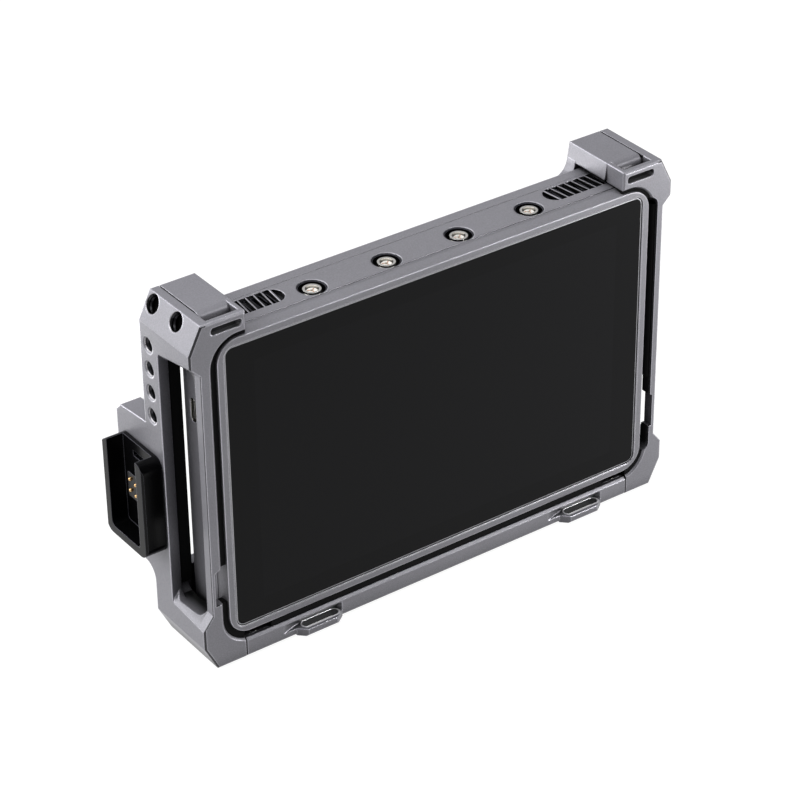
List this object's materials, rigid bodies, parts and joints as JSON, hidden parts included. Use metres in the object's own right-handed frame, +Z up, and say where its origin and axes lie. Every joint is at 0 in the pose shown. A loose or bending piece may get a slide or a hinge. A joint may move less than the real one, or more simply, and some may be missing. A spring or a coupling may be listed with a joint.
{
  "type": "camera field monitor in a cage",
  "caption": "Flat field monitor in a metal cage with screw sockets, strap loops, antenna jacks, top vents, a rear battery plate and a side dock with sprung contacts.",
  "frame": {"origin": "mouth of the tripod thread in the middle of the underside", "axes": "+Z up, +Y from the screen to the back, +X to the right seen from the front"},
  "size_m": [0.2077, 0.0523, 0.1349],
  "materials": {
    "cage_aluminium": "bead-blasted and anodised grey",
    "housing_aluminium": "bead-blasted and anodised grey",
    "button_aluminium": "anodised, satin",
    "heat_sink_aluminium": "plain extruded",
    "black_rubber": "matte",
    "black_plastic": "fine moulded grain",
    "gold_plating": "gold plated",
    "bright_steel": "nickel plated",
    "black_steel": "black oxide",
    "screen_glass": "black printed cover glass",
    "panel_black": "switched-off display",
    "backlight_white": "white diffuser tray",
    "white_insulator": "smooth",
    "green_board": "solder resist",
    "bronze": "sintered"
  },
  "bodies": {
    "monitor_in_cage": {"left_frame": "cage_aluminium", "right_frame": "cage_aluminium", "rear_bridge": "cage_aluminium", "bottom_bar": "cage_aluminium", "bar_screws": "bright_steel", "bridge_screws": "black_steel", "hook_pads": "black_rubber", "bottom_pad": "black_rubber", "rear_pads": "black_rubber", "left_lip_pad": "black_rubber", "right_side_pad": "black_rubber", "front_seal": "black_rubber", "dock_tray": "black_plastic", "dock_contact_block": "black_plastic", "dock_screws": "black_steel", "front_bezel": "housing_aluminium", "glass_gasket": "black_rubber", "cover_glass": "screen_glass", "lcd_panel": "panel_black", "backlight_unit": "backlight_white", "mid_frame": "housing_aluminium", "rear_cover": "housing_aluminium", "cover_screws": "black_steel", "left_vent_screen": "black_plastic", "right_vent_screen": "black_plastic", "jack_wells": "black_plastic", "antenna_jacks": "bright_steel", "jack_insulators": "white_insulator", "jack_centre_pins": "gold_plating", "jack_nuts": "bright_steel", "receiver_board": "green_board", "main_board": "green_board", "heat_sink": "heat_sink_aluminium", "board_screws": "bright_steel", "left_fan_housing": "black_plastic", "right_fan_housing": "black_plastic", "fan_bearings": "bronze", "fan_screws": "bright_steel", "power_switch": "black_plastic", "usb_c_port": "bright_steel", "battery_plate": "black_plastic", "battery_contacts": "gold_plating", "plate_screws": "black_steel"},
    "dock_contact_1_body": {"dock_contact_1": "gold_plating"},
    "dock_contact_2_body": {"dock_contact_2": "gold_plating"},
    "dock_contact_3_body": {"dock_contact_3": "gold_plating"},
    "dock_contact_4_body": {"dock_contact_4": "gold_plating"},
    "power_button_body": {"power_button": "button_aluminium"},
    "battery_latch_body": {"battery_latch": "black_plastic"},
    "left_fan_rotor_body": {"left_fan_rotor": "black_plastic"},
    "right_fan_rotor_body": {"right_fan_rotor": "black_plastic"}
  },
  "joints": [
    {"name": "dock_contact_1_press", "type": "slide", "parent": "monitor_in_cage", "child": "dock_contact_1_body", "axis": [1, 0, 0], "range_m": [0, 0.0007], "stiffness_N_per_m": 300, "springref_m": -0.0005},
    {"name": "dock_contact_2_press", "type": "slide", "parent": "monitor_in_cage", "child": "dock_contact_2_body", "axis": [1, 0, 0], "range_m": [0, 0.0007], "stiffness_N_per_m": 300, "springref_m": -0.0005},
    {"name": "dock_contact_3_press", "type": "slide", "parent": "monitor_in_cage", "child": "dock_contact_3_body", "axis": [1, 0, 0], "range_m": [0, 0.0007], "stiffness_N_per_m": 300, "springref_m": -0.0005},
    {"name": "dock_contact_4_press", "type": "slide", "parent": "monitor_in_cage", "child": "dock_contact_4_body", "axis": [1, 0, 0], "range_m": [0, 0.0007], "stiffness_N_per_m": 300, "springref_m": -0.0005},
    {"name": "power_button_press", "type": "slide", "parent": "monitor_in_cage", "child": "power_button_body", "axis": [-1, 0, 0], "range_m": [0, 0.0006], "stiffness_N_per_m": 1500, "springref_m": -0.0005},
    {"name": "battery_latch_press", "type": "slide", "parent": "monitor_in_cage", "child": "battery_latch_body", "axis": [0, -1, 0], "range_m": [0, 0.0018], "stiffness_N_per_m": 800, "springref_m": -0.0015},
    {"name": "left_fan_spin", "type": "hinge", "parent": "monitor_in_cage", "child": "left_fan_rotor_body", "pos_m": [-0.0673, -0.00175, 0.1066], "axis": [0, 1, 0], "continuous": true},
    {"name": "right_fan_spin", "type": "hinge", "parent": "monitor_in_cage", "child": "right_fan_rotor_body", "pos_m": [0.0673, -0.00175, 0.1066], "axis": [0, 1, 0], "continuous": true}
  ]
}
